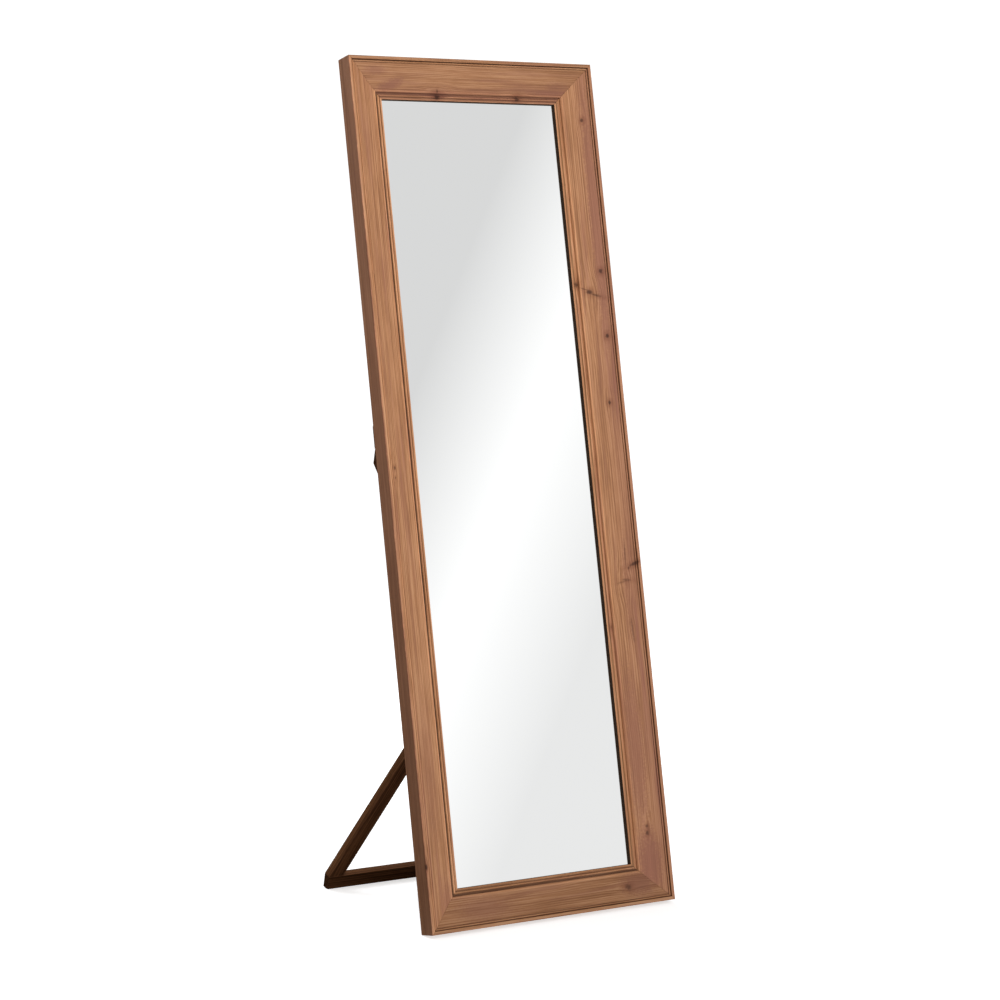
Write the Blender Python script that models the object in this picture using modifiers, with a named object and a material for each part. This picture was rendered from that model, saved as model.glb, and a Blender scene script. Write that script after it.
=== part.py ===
"""Leaning floor mirror: a mitred, moulded pine frame with a fold-out X-shaped easel stand.

Metres, +Z up. The mirror faces -Y and leans back by LEAN, so its top is nearer +Y. Its back lower
edge and the stand's foot bar rest on the floor at z = 0, and the world origin is on the floor under
the middle of the whole object.

Two local frames are used, each held by an empty:
  mirror_lean  origin on the frame's back lower edge, +Z up the frame, +Y out of its back
  stand_axis   origin on the hinge pins' axis, +Z up the stand, +Y out of the stand's back
"""

import math

import bmesh
import bpy
from mathutils import Matrix, Vector

# ---------------------------------------------------------------- driving dimensions
FRAME_WIDTH = 0.550
FRAME_HEIGHT = 1.680
FRAME_THICKNESS = 0.044
LEAN = math.radians(11.0)          # the mirror's lean, back from vertical
OPENING = math.radians(25.3)       # the angle between the mirror and the open stand

FIT_GAP = 0.0003                   # between pieces that touch
MITRE_GAP = 0.0003                 # across a mitre joint

# moulding: distances inwards from the frame's outer edge, and depths below its front plane
MEMBER_WIDTH = 0.0778
OUTER_LIP_WIDTH = 0.0065
OUTER_ROUND = 0.0010
BEAD_CENTRE = 0.0096
BEAD_RADIUS = 0.0015
BEAD_DEPTH = 0.0022                # crest of the outer bead
QUIRK_DEPTH = 0.0040               # bottom of the grooves on both sides of the outer bead
FACE_START = 0.0126
FACE_START_DEPTH = 0.0030
FACE_END_DEPTH = 0.0234
FACE_SCOOP = 0.0008                # how far the broad face is hollowed at its middle
RIDGE_WIDTH = 0.0052
RIDGE_RISE = 0.0014
RIDGE_QUIRK = 0.0032               # width of the groove between the ridge and the inner bead
INNER_QUIRK = 0.0014               # width of the groove between the inner bead and the lip
INNER_BEAD_WIDTH = 0.0046
INNER_BEAD_DEPTH = 0.0258          # crest of the inner bead
INNER_QUIRK_DEPTH = 0.0284
SIGHT_LIP_WIDTH = 0.0038           # the flat strip along the glass
SIGHT_LIP_DEPTH = 0.0268
SIGHT_EDGE_DEPTH = 0.0276          # where the face meets the wall that goes down to the glass

REBATE_WIDTH = 0.010
GLASS_THICKNESS = 0.004
BOARD_THICKNESS = 0.0055
BOARD_INSET = 0.0004               # the board's back, in from the frame's back
GLAZING_PLAY = 0.0010              # around the glass and the board

SPLINE_LENGTH = 0.040              # along the mitre
SPLINE_WIDTH = 0.024
SPLINE_THICKNESS = 0.003
SPLINE_INSET = 0.032               # its centre, in from both outer edges
SPLINE_HEIGHT = 0.014              # its middle, above the frame's back

CLIP_LENGTH = 0.030
CLIP_WIDTH = 0.012
CLIP_THICKNESS = 0.001
CLIP_SCREW_OUTSET = 0.009          # its screw, outwards from the rebate's wall
CLIP_FROM_BOTTOM = 0.340           # the lower clip on each stile, up from the frame's lower edge
CLIP_FROM_TOP = 0.380              # the upper clip, down from its upper edge

# stand
STAND_INSET = 0.013                # the stand's ends, in from the frame's sides
STAND_THICKNESS = 0.020
BAR_HEIGHT = 0.029
BRACE_WIDTH = 0.028
FOOT_LAND = 0.009                  # the strip planed flat along the foot bar's lower edge
EASED_EDGE = 0.0008
BATTEN_HEIGHT = 0.044
STOP_MARGIN = 0.0012               # the batten's back, behind the edge that it stops
BATTEN_SCREW_LEVELS = (("lower", 0.25), ("upper", 0.75))   # shares of the batten's height

# hinges
HINGE_HEIGHT = 0.9175              # the pins' axis, up the frame from its lower edge
HINGE_LENGTH = 0.040
LEAF_HEIGHT = 0.021
LEAF_THICKNESS = 0.0015
KNUCKLE_RADIUS = 0.0030
KNUCKLES = 5
PIN_RADIUS = 0.0015
PIN_CLEARANCE = 0.0001
PIN_HEAD = 0.0006                  # how far the pin stands out of each end knuckle
BAR_DROP = 0.0010                  # the top bar's upper face, below the pins' axis
LEAF_RELIEF = 0.0005               # between a leaf's edge and the other leaf's knuckles

# screws: shank radius, length under the top of the head, head radius, head height
LEAF_SCREW = (0.0016, 0.014, 0.0031, 0.0014)
BATTEN_SCREW = (0.0022, 0.043, 0.0043, 0.0022)
BRACE_SCREW = (0.0020, 0.042, 0.0038, 0.0019)
LAP_SCREW = (0.0020, STAND_THICKNESS - 0.003, 0.0038, 0.0019)
CLIP_SCREW = (0.0015, 0.011, 0.0029, 0.0013)
BRACE_SCREW_SINK = 0.006           # its head, below the bar's outer face
TIP_LENGTH = 3.0                   # a screw's point, in shank radii
RECESS_REACH = 0.62                # half length of the cross recess, as a share of the head radius
RECESS_WIDTH = 0.26                # width of each arm of the recess, as a share of the head radius
RECESS_DEPTH = 0.55                # depth of the recess, as a share of the head height
HEAD_RIM = 0.15                    # the head's straight rim, as a share of its height
TIP_RADIUS = 0.25                  # the blunt end of its point, as a share of the shank's radius
ROUND_SIDES = 20
SCREW_SIDES = 12
BEAD_STEPS = 6                     # flats along each bead and along the broad face
RIDGE_STEPS = 4
ROUND_STEPS = 3                    # flats along the eased outer edges
CLIP_END_STEPS = 8

# ---------------------------------------------------------------- sizes that follow
STAND_LEAN = OPENING - LEAN                      # the stand's lean, forwards from vertical
STAND_WIDTH = FRAME_WIDTH - 2 * STAND_INSET
PIN_OFFSET = KNUCKLE_RADIUS + FIT_GAP            # the pins' axis, off the wood on either side
HINGE_X = (FRAME_WIDTH - MEMBER_WIDTH) / 2       # the hinges are on the stiles' centre lines
PIN_Y = PIN_OFFSET * math.cos(LEAN) + HINGE_HEIGHT * math.sin(LEAN)
PIN_Z = HINGE_HEIGHT * math.cos(LEAN) - PIN_OFFSET * math.sin(LEAN)
STAND_FRONT = PIN_OFFSET                         # the stand's front face in stand_axis
STAND_BACK = STAND_FRONT + STAND_THICKNESS
FOOT_REACH = (PIN_Z + STAND_FRONT * math.sin(STAND_LEAN)) / math.cos(STAND_LEAN)
FOOT_BOTTOM = -(FOOT_REACH + FOOT_LAND * math.sin(STAND_LEAN))
BAR_TOP = -BAR_DROP
BRACE_TOP = BAR_TOP - BAR_HEIGHT - FIT_GAP
BRACE_BOTTOM = FOOT_BOTTOM + BAR_HEIGHT + FIT_GAP
FOOT_REAR_Y = PIN_Y + STAND_BACK * math.cos(STAND_LEAN) - FOOT_BOTTOM * math.sin(STAND_LEAN)
FRAME_FRONT_Y = -FRAME_THICKNESS * math.cos(LEAN)
CENTRE_Y = (FRAME_FRONT_Y + FOOT_REAR_Y) / 2

# the batten stops the stand: the top bar's upper rear edge comes up under it
STOP_RISE = STAND_BACK * math.sin(OPENING) - BAR_DROP * math.cos(OPENING)
STOP_REACH = PIN_OFFSET + STAND_BACK * math.cos(OPENING) + BAR_DROP * math.sin(OPENING)
BATTEN_BOTTOM = HINGE_HEIGHT + STOP_RISE + FIT_GAP
BATTEN_THICKNESS = STOP_REACH + STOP_MARGIN - FIT_GAP

REBATE_DEPTH = GLASS_THICKNESS + BOARD_THICKNESS + 2 * FIT_GAP + BOARD_INSET
GLASS_FRONT = REBATE_DEPTH - FIT_GAP             # heights above the frame's back
BOARD_FRONT = GLASS_FRONT - GLASS_THICKNESS - FIT_GAP
REBATE_EDGE = MEMBER_WIDTH - REBATE_WIDTH
INNER_BEAD_END = MEMBER_WIDTH - SIGHT_LIP_WIDTH - INNER_QUIRK
RIDGE_END = INNER_BEAD_END - INNER_BEAD_WIDTH - RIDGE_QUIRK
FACE_END = RIDGE_END - RIDGE_WIDTH
PANE_WIDTH = FRAME_WIDTH - 2 * (REBATE_EDGE + GLAZING_PLAY)
PANE_HEIGHT = FRAME_HEIGHT - 2 * (REBATE_EDGE + GLAZING_PLAY)


# ---------------------------------------------------------------- scene and materials
def clear_scene():
    for item in list(bpy.data.objects):
        bpy.data.objects.remove(item, do_unlink=True)


def new_collection(name):
    collection = bpy.data.collections.new(name)
    bpy.context.scene.collection.children.link(collection)
    return collection


def principled(name, colour, roughness, metallic=0.0):
    material = bpy.data.materials.new(name)
    material.use_nodes = True
    shader = material.node_tree.nodes["Principled BSDF"]
    shader.inputs["Base Color"].default_value = (*colour, 1.0)
    shader.inputs["Roughness"].default_value = roughness
    shader.inputs["Metallic"].default_value = metallic
    material.diffuse_color = (*colour, 1.0)
    return material


clear_scene()
PARTS = new_collection("floor_mirror")
CUTTERS = new_collection("cutters")

STAINED_PINE = principled("stained_pine", (0.42, 0.22, 0.115), 0.55)
STAND_PINE = principled("stand_pine", (0.30, 0.15, 0.08), 0.60)
BEECH = principled("beech_spline", (0.62, 0.45, 0.28), 0.70)
SILVERED_GLASS = principled("silvered_glass", (0.90, 0.92, 0.92), 0.02, 1.0)
HARDBOARD = principled("hardboard", (0.20, 0.12, 0.07), 0.80)
HINGE_BRASS = principled("hinge_brass", (0.60, 0.42, 0.16), 0.32, 1.0)
ZINC = principled("zinc_plate", (0.62, 0.62, 0.60), 0.35, 1.0)


# ---------------------------------------------------------------- local frames
def new_empty(name, matrix):
    empty = bpy.data.objects.new(name, None)
    PARTS.objects.link(empty)
    empty.matrix_world = matrix
    return empty


MIRROR_MATRIX = Matrix.Translation((0, -CENTRE_Y, 0)) @ Matrix.Rotation(-LEAN, 4, "X")
STAND_MATRIX = Matrix.Translation((0, PIN_Y - CENTRE_Y, PIN_Z)) @ Matrix.Rotation(STAND_LEAN, 4, "X")
MIRROR_LEAN = new_empty("mirror_lean", MIRROR_MATRIX)
STAND_AXIS = new_empty("stand_axis", STAND_MATRIX)


# ---------------------------------------------------------------- shapes
def place(item, parent, matrix=None):
    """Put a piece in the frame of its parent empty, at matrix there."""
    item.parent = parent
    item.matrix_parent_inverse = Matrix.Identity(4)
    item.matrix_basis = matrix if matrix is not None else Matrix.Identity(4)
    return item


def piece(name, mesh, material, parent, matrix=None):
    item = bpy.data.objects.new(name, mesh)
    PARTS.objects.link(item)
    if not mesh.materials:
        mesh.materials.append(material)
    return place(item, parent, matrix)


def as_cutter(item):
    item.display_type = "WIRE"
    item.hide_render = True
    return item


def cutter(name, mesh, parent, matrix=None):
    item = bpy.data.objects.new(name, mesh)
    CUTTERS.objects.link(item)
    return as_cutter(place(item, parent, matrix))


def combine(item, operation, tools):
    """Take tools out of a piece, or join them to it. Tools that follow each other share one Boolean."""
    last = item.modifiers[-1] if item.modifiers else None
    if last is None or last.operation != operation:
        last = item.modifiers.new(operation.lower(), "BOOLEAN")
        last.operation = operation
        last.solver = "EXACT"
        last.operand_type = "COLLECTION"
        last.collection = bpy.data.collections.new(f"{item.name}_{last.name}")
    for tool in tools:
        last.collection.objects.link(tool)


def cut(item, *tools):
    combine(item, "DIFFERENCE", tools)


def join(item, *tools):
    combine(item, "UNION", tools)


def box_mesh(name, size, centre=(0, 0, 0)):
    solid = bmesh.new()
    bmesh.ops.create_cube(solid, size=1.0)
    bmesh.ops.scale(solid, vec=Vector(size), verts=solid.verts)
    bmesh.ops.translate(solid, vec=Vector(centre), verts=solid.verts)
    mesh = bpy.data.meshes.new(name)
    solid.to_mesh(mesh)
    solid.free()
    return mesh


def cylinder_mesh(name, radius, length, sides, top_radius=None):
    """A cylinder, or a cone, from z = -length up to z = 0."""
    solid = bmesh.new()
    upper = radius if top_radius is None else top_radius
    bmesh.ops.create_cone(
        solid, cap_ends=True, segments=sides, radius1=radius, radius2=upper, depth=length
    )
    bmesh.ops.translate(solid, vec=Vector((0, 0, -length / 2)), verts=solid.verts)
    mesh = bpy.data.meshes.new(name)
    solid.to_mesh(mesh)
    solid.free()
    return mesh


def evaluated_mesh(item, name):
    """The finished mesh of an object, whose object is then removed."""
    bpy.context.view_layer.update()
    graph = bpy.context.evaluated_depsgraph_get()
    mesh = bpy.data.meshes.new_from_object(item.evaluated_get(graph), depsgraph=graph)
    mesh.name = name
    bpy.data.objects.remove(item, do_unlink=True)
    return mesh


def prism_mesh(name, outline, length):
    """A flat outline in X and Y, thickened along Z to the given length about z = 0."""
    curve = bpy.data.curves.new(name, "CURVE")
    curve.dimensions = "2D"
    curve.fill_mode = "BOTH"
    curve.extrude = length / 2
    spline = curve.splines.new("POLY")
    spline.points.add(len(outline) - 1)
    for point, (x, y) in zip(spline.points, outline):
        point.co = (x, y, 0, 1)
    spline.use_cyclic_u = True
    item = bpy.data.objects.new(name, curve)
    PARTS.objects.link(item)
    mesh = evaluated_mesh(item, name)
    solid = bmesh.new()
    solid.from_mesh(mesh)
    bmesh.ops.remove_doubles(solid, verts=solid.verts, dist=0.00001)
    bmesh.ops.recalc_face_normals(solid, faces=solid.faces)
    solid.to_mesh(mesh)
    solid.free()
    return mesh


def arc(centre, radius, start, end, steps):
    """Points along an arc, from the start angle to the end angle in degrees."""
    points = []
    for step in range(steps + 1):
        angle = math.radians(start + (end - start) * step / steps)
        points.append((centre[0] + radius * math.cos(angle), centre[1] + radius * math.sin(angle)))
    return points


def hump(start, end, rise, steps):
    """Points from start to end on a parabola that rises by rise above the line between them."""
    points = []
    for step in range(steps + 1):
        share = step / steps
        x = start[0] + (end[0] - start[0]) * share
        y = start[1] + (end[1] - start[1]) * share
        points.append((x, y + 4 * rise * share * (1 - share)))
    return points


def smooth(item, angle=math.radians(32)):
    item.data.shade_smooth()
    item.data.set_sharp_from_angle(angle=angle)


def ease_edges(mesh, direction):
    """Take the sharpness off the edges that run along a direction."""
    solid = bmesh.new()
    solid.from_mesh(mesh)
    along = Vector(direction).normalized()
    long_edges = []
    for edge in solid.edges:
        run = (edge.verts[1].co - edge.verts[0].co).normalized()
        if abs(run.dot(along)) > 0.9999 and edge.calc_face_angle(0) > math.radians(20):
            long_edges.append(edge)
    bmesh.ops.bevel(
        solid, geom=long_edges, offset=EASED_EDGE, segments=2, profile=0.5, affect="EDGES"
    )
    solid.to_mesh(mesh)
    solid.free()
    return mesh


def axes_matrix(x_axis, y_axis, origin):
    """The frame whose X and Y axes are given, and whose Z axis completes them."""
    x_axis = Vector(x_axis)
    y_axis = Vector(y_axis)
    z_axis = x_axis.cross(y_axis)
    matrix = Matrix((x_axis, y_axis, z_axis)).transposed().to_4x4()
    matrix.translation = Vector(origin)
    return matrix


# ---------------------------------------------------------------- screws
def turned_mesh(name, profile):
    """A closed solid turned about Z from a profile of radii and heights that starts and ends on Z."""
    mesh = bpy.data.meshes.new(name)
    points = [(radius, 0, height) for radius, height in profile]
    mesh.from_pydata(points, [(end - 1, end) for end in range(1, len(points))], [])
    item = bpy.data.objects.new(name, mesh)
    PARTS.objects.link(item)
    turn = item.modifiers.new("turn", "SCREW")
    turn.axis = "Z"
    turn.steps = SCREW_SIDES
    turn.render_steps = SCREW_SIDES
    turn.use_merge_vertices = True
    turn.merge_threshold = 0.00001
    turn.use_smooth_shade = False
    return evaluated_mesh(item, name)


def screw_mesh(name, size):
    """A countersunk screw along Z with a cross recess: its head's top is at z = 0, its point below."""
    shank, length, head, head_height = size
    tip = TIP_LENGTH * shank
    profile = (
        (0.0, 0.0),
        (head, 0.0),
        (head, -HEAD_RIM * head_height),
        (shank, -head_height),
        (shank, tip - length),
        (TIP_RADIUS * shank, -length),
        (0.0, -length),
    )
    turned = bpy.data.objects.new(name, turned_mesh(name, profile))
    PARTS.objects.link(turned)
    arm = 2 * RECESS_REACH * head
    depth = 2 * RECESS_DEPTH * head_height
    slots = []
    for width, height in ((arm, RECESS_WIDTH * head), (RECESS_WIDTH * head, arm)):
        slot = bpy.data.objects.new("recess_arm", box_mesh("recess_arm", (width, height, depth)))
        CUTTERS.objects.link(slot)
        cut(turned, slot)
        slots.append(slot)
    finished = evaluated_mesh(turned, name)
    for slot in slots:
        bpy.data.objects.remove(slot, do_unlink=True)
    return finished


def screw_hole_mesh(name, size):
    """The space a screw needs, its head's seat included."""
    shank, length, head, head_height = size
    radius = shank + FIT_GAP
    seat = head + FIT_GAP
    above = 2 * FIT_GAP
    profile = (
        (0.0, above),
        (seat, above),
        (seat, -HEAD_RIM * head_height - FIT_GAP),
        (radius, -head_height - FIT_GAP),
        (radius, -length - FIT_GAP),
        (0.0, -length - FIT_GAP),
    )
    return turned_mesh(name, profile)


class ScrewKind:
    """One size of screw: its mesh, its hole's mesh and its material."""

    def __init__(self, name, size):
        self.size = size
        self.mesh = screw_mesh(name, size)
        self.hole = screw_hole_mesh(name + "_hole", size)

    def drive(self, name, parent, origin, inwards, *targets):
        """Put a screw at origin, pointing inwards, with a hole for it in each target."""
        outwards = -Vector(inwards)
        turn = Vector((0, 0, 1)).rotation_difference(outwards).to_matrix().to_4x4()
        matrix = Matrix.Translation(origin) @ turn
        screw = piece(name, self.mesh, ZINC, parent, matrix)
        hole = cutter(name + "_hole", self.hole, parent, matrix)
        for target in targets:
            cut(target, hole)
        return screw


# ---------------------------------------------------------------- frame
def moulding_outline():
    """The moulding's section: x is in from the outer edge, y is up from the back."""

    def at(inset, depth):
        return (inset, FRAME_THICKNESS - depth)

    bead_left = BEAD_CENTRE - BEAD_RADIUS
    bead_right = BEAD_CENTRE + BEAD_RADIUS
    inner_bead = RIDGE_END + RIDGE_QUIRK
    face_drop = (FACE_END_DEPTH - FACE_START_DEPTH) / (FACE_END - FACE_START)
    ridge_end_depth = FACE_END_DEPTH + RIDGE_WIDTH * face_drop

    points = [(OUTER_ROUND, 0.0), (REBATE_EDGE, 0.0), (REBATE_EDGE, REBATE_DEPTH)]
    points += [(MEMBER_WIDTH, REBATE_DEPTH), at(MEMBER_WIDTH, SIGHT_EDGE_DEPTH)]
    points += [at(INNER_BEAD_END + INNER_QUIRK, SIGHT_LIP_DEPTH)]
    points += [at(INNER_BEAD_END + INNER_QUIRK / 2, INNER_QUIRK_DEPTH)]
    bead_rise = INNER_QUIRK_DEPTH - INNER_BEAD_DEPTH
    bead_feet = (at(INNER_BEAD_END, INNER_QUIRK_DEPTH), at(inner_bead, INNER_QUIRK_DEPTH))
    points += hump(*bead_feet, bead_rise, BEAD_STEPS)
    points += [at(RIDGE_END, INNER_QUIRK_DEPTH)]
    points += hump(at(RIDGE_END, ridge_end_depth), at(FACE_END, FACE_END_DEPTH), RIDGE_RISE, RIDGE_STEPS)
    points += hump(
        at(FACE_END - FIT_GAP, FACE_END_DEPTH), at(FACE_START, FACE_START_DEPTH), -FACE_SCOOP, BEAD_STEPS
    )
    points += [at(bead_right, QUIRK_DEPTH)]
    crest = FRAME_THICKNESS - BEAD_DEPTH - BEAD_RADIUS
    points += arc((BEAD_CENTRE, crest), BEAD_RADIUS, 0, 180, BEAD_STEPS)
    points += [at(bead_left, QUIRK_DEPTH)]
    points += [at(OUTER_LIP_WIDTH, OUTER_ROUND / 2), at(OUTER_LIP_WIDTH - OUTER_ROUND / 2, 0.0)]
    points += arc((OUTER_ROUND, FRAME_THICKNESS - OUTER_ROUND), OUTER_ROUND, 90, 180, ROUND_STEPS)
    points += arc((OUTER_ROUND, OUTER_ROUND), OUTER_ROUND, 180, 270, ROUND_STEPS)[:-1]
    return points


def member_mesh(name, length):
    """A length of moulding along Z, mitred at both ends."""
    mesh = prism_mesh(name, moulding_outline(), length)
    half = length / 2 - MITRE_GAP
    for vertex in mesh.vertices:
        vertex.co.z = math.copysign(half - vertex.co.x, vertex.co.z)
    return mesh


def frame_member(name, length, inwards, origin):
    outwards_of_back = (0, -1, 0)
    matrix = axes_matrix(inwards, outwards_of_back, origin)
    member = piece(name, member_mesh(name, length), STAINED_PINE, MIRROR_LEAN, matrix)
    smooth(member)
    return member


half_width = FRAME_WIDTH / 2
half_height = FRAME_HEIGHT / 2
left_stile = frame_member("frame_left_stile", FRAME_HEIGHT, (1, 0, 0), (-half_width, 0, half_height))
right_stile = frame_member("frame_right_stile", FRAME_HEIGHT, (-1, 0, 0), (half_width, 0, half_height))
bottom_rail = frame_member("frame_bottom_rail", FRAME_WIDTH, (0, 0, 1), (0, 0, 0))
top_rail = frame_member("frame_top_rail", FRAME_WIDTH, (0, 0, -1), (0, 0, FRAME_HEIGHT))


def corner_spline(name, side, level, stile, rail):
    """A beech spline across one mitre, in a slot in both members."""
    x = side * (half_width - SPLINE_INSET)
    z = half_height + level * (half_height - SPLINE_INSET)
    along_mitre = Matrix.Rotation(-side * level * math.pi / 4, 4, "Y")
    matrix = Matrix.Translation((x, -SPLINE_HEIGHT, z)) @ along_mitre
    size = (SPLINE_WIDTH, SPLINE_THICKNESS, SPLINE_LENGTH)
    slot_size = tuple(extent + 2 * FIT_GAP for extent in size)
    piece(name, box_mesh(name, size), BEECH, MIRROR_LEAN, matrix)
    slot = cutter(name + "_slot", box_mesh(name + "_slot", slot_size), MIRROR_LEAN, matrix)
    cut(stile, slot)
    cut(rail, slot)


corner_spline("corner_spline_bottom_left", -1, -1, left_stile, bottom_rail)
corner_spline("corner_spline_bottom_right", 1, -1, right_stile, bottom_rail)
corner_spline("corner_spline_top_left", -1, 1, left_stile, top_rail)
corner_spline("corner_spline_top_right", 1, 1, right_stile, top_rail)


def pane(name, thickness, front, material):
    """A sheet in the rebate, whose front is at a height above the frame's back."""
    mesh = box_mesh(name, (PANE_WIDTH, thickness, PANE_HEIGHT))
    middle = (0, -front + thickness / 2, half_height)
    return piece(name, mesh, material, MIRROR_LEAN, Matrix.Translation(middle))


pane("mirror_glass", GLASS_THICKNESS, GLASS_FRONT, SILVERED_GLASS)
pane("backing_board", BOARD_THICKNESS, BOARD_FRONT, HARDBOARD)


# ---------------------------------------------------------------- retaining clips
def clip_outline():
    """A strip with round ends along X, whose screw hole is at its origin."""
    radius = CLIP_WIDTH / 2
    reach = CLIP_LENGTH - CLIP_WIDTH
    far_end = arc((reach, 0), radius, -90, 90, CLIP_END_STEPS)
    return far_end + arc((0, 0), radius, 90, 270, CLIP_END_STEPS)


clip_mesh = prism_mesh("retaining_clip", clip_outline(), CLIP_THICKNESS)
clip_screws = ScrewKind("clip_screw", CLIP_SCREW)
clip_inset = REBATE_EDGE - CLIP_SCREW_OUTSET


def retaining_clip(name, inwards, x, z, member):
    """A steel clip that holds the backing board, screwed to one member of the frame."""
    matrix = axes_matrix(inwards, Vector((0, 1, 0)).cross(Vector(inwards)), (x, 0, z))
    matrix.translation.y = FIT_GAP + CLIP_THICKNESS / 2
    clip = piece("retaining_clip_" + name, clip_mesh.copy(), ZINC, MIRROR_LEAN, matrix)
    head_seat = Vector((x, FIT_GAP + CLIP_THICKNESS + FIT_GAP, z))
    clip_screws.drive("clip_screw_" + name, MIRROR_LEAN, head_seat, (0, -1, 0), clip, member)


for level_name, height in (("lower", CLIP_FROM_BOTTOM), ("upper", FRAME_HEIGHT - CLIP_FROM_TOP)):
    retaining_clip("left_" + level_name, (1, 0, 0), clip_inset - half_width, height, left_stile)
    retaining_clip("right_" + level_name, (-1, 0, 0), half_width - clip_inset, height, right_stile)
retaining_clip("bottom", (0, 0, 1), 0, clip_inset, bottom_rail)
retaining_clip("top", (0, 0, -1), 0, FRAME_HEIGHT - clip_inset, top_rail)


# ---------------------------------------------------------------- stop batten
def bar(name, section, material, parent):
    """A straight bar as wide as the stand, from its section in Y and Z."""
    mesh = prism_mesh(name, section, STAND_WIDTH)
    ease_edges(mesh, (0, 0, 1))
    lie_along_x = axes_matrix((0, 1, 0), (0, 0, 1), (0, 0, 0))
    return piece(name, mesh, material, parent, lie_along_x)


def rectangle(low_y, high_y, low_z, high_z):
    return [(low_y, low_z), (high_y, low_z), (high_y, high_z), (low_y, high_z)]


batten_front = FIT_GAP
batten_back = FIT_GAP + BATTEN_THICKNESS
batten_section = rectangle(batten_front, batten_back, BATTEN_BOTTOM, BATTEN_BOTTOM + BATTEN_HEIGHT)
batten = bar("stop_batten", batten_section, STAND_PINE, MIRROR_LEAN)

batten_screws = ScrewKind("batten_screw", BATTEN_SCREW)
for side, stile, side_name in ((-1, left_stile, "left"), (1, right_stile, "right")):
    for level_name, level in BATTEN_SCREW_LEVELS:
        origin = Vector((side * HINGE_X, batten_back, BATTEN_BOTTOM + level * BATTEN_HEIGHT))
        name = f"batten_screw_{side_name}_{level_name}"
        batten_screws.drive(name, MIRROR_LEAN, origin, (0, -1, 0), batten, stile)


# ---------------------------------------------------------------- stand
top_bar_section = rectangle(STAND_FRONT, STAND_BACK, BAR_TOP - BAR_HEIGHT, BAR_TOP)
top_bar = bar("stand_top_bar", top_bar_section, STAND_PINE, STAND_AXIS)

land_depth = FOOT_LAND * math.cos(STAND_LEAN)
land_rise = FOOT_LAND * math.sin(STAND_LEAN)
foot_section = [
    (STAND_FRONT, FOOT_BOTTOM + land_rise),
    (STAND_FRONT + land_depth, FOOT_BOTTOM),
    (STAND_BACK, FOOT_BOTTOM),
    (STAND_BACK, FOOT_BOTTOM + BAR_HEIGHT),
    (STAND_FRONT, FOOT_BOTTOM + BAR_HEIGHT),
]
foot_mesh = prism_mesh("stand_foot_bar", foot_section, STAND_WIDTH)
foot_bar = piece(
    "stand_foot_bar", foot_mesh, STAND_PINE, STAND_AXIS, axes_matrix((0, 1, 0), (0, 0, 1), (0, 0, 0))
)


def brace_footprint(width):
    """How much of a bar's length a brace of the given width covers, cut level at its end."""
    rise = BRACE_TOP - BRACE_BOTTOM
    a = rise**2 - width**2
    b = 2 * width**2 * STAND_WIDTH
    c = -(width**2) * (rise**2 + STAND_WIDTH**2)
    return (-b + math.sqrt(b**2 - 4 * a * c)) / (2 * a)


BRACE_FOOTPRINT = brace_footprint(BRACE_WIDTH)
brace_run = Vector((STAND_WIDTH - BRACE_FOOTPRINT, 0, BRACE_TOP - BRACE_BOTTOM)).normalized()


def brace_outline(side, spare=0.0):
    """A brace's outline in X and Z: from the foot bar's end at side to the top bar's other end."""
    low = BRACE_BOTTOM
    high = BRACE_TOP
    outer = STAND_WIDTH / 2 + spare / brace_run.z
    inner = STAND_WIDTH / 2 - BRACE_FOOTPRINT - spare / brace_run.z
    return [(side * outer, low), (side * inner, low), (-side * outer, high), (-side * inner, high)]


lie_on_stand = axes_matrix((1, 0, 0), (0, 0, 1), (0, (STAND_FRONT + STAND_BACK) / 2, 0))


def brace(name, side):
    mesh = prism_mesh(name, brace_outline(side), STAND_THICKNESS)
    ease_edges(mesh, (-side * brace_run.x, brace_run.z, 0))
    return piece(name, mesh, STAND_PINE, STAND_AXIS, lie_on_stand)


def lap_cutter(name, side, towards_back):
    """The other brace's half of the lap, with a gap all round."""
    depth = STAND_THICKNESS / 2 + 2 * FIT_GAP
    shift = STAND_THICKNESS / 4 + FIT_GAP / 2
    mesh = prism_mesh(name, brace_outline(side, FIT_GAP), depth)
    middle = (STAND_FRONT + STAND_BACK) / 2 + (shift if towards_back else -shift)
    return cutter(name, mesh, STAND_AXIS, axes_matrix((1, 0, 0), (0, 0, 1), (0, middle, 0)))


brace_front = brace("stand_brace_left_foot", -1)
brace_rear = brace("stand_brace_right_foot", 1)
cut(brace_front, lap_cutter("lap_for_rear_brace", 1, True))
cut(brace_rear, lap_cutter("lap_for_front_brace", -1, False))

lap_screws = ScrewKind("lap_screw", LAP_SCREW)
lap_centre = Vector((0, STAND_BACK, (BRACE_TOP + BRACE_BOTTOM) / 2))
lap_screws.drive("lap_screw", STAND_AXIS, lap_centre, (0, -1, 0), brace_rear, brace_front)

brace_screws = ScrewKind("brace_screw", BRACE_SCREW)
counterbore_radius = BRACE_SCREW[2] + 2 * FIT_GAP
counterbore_mesh = cylinder_mesh(
    "counterbore", counterbore_radius, BRACE_SCREW_SINK + FIT_GAP, SCREW_SIDES
)


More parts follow.
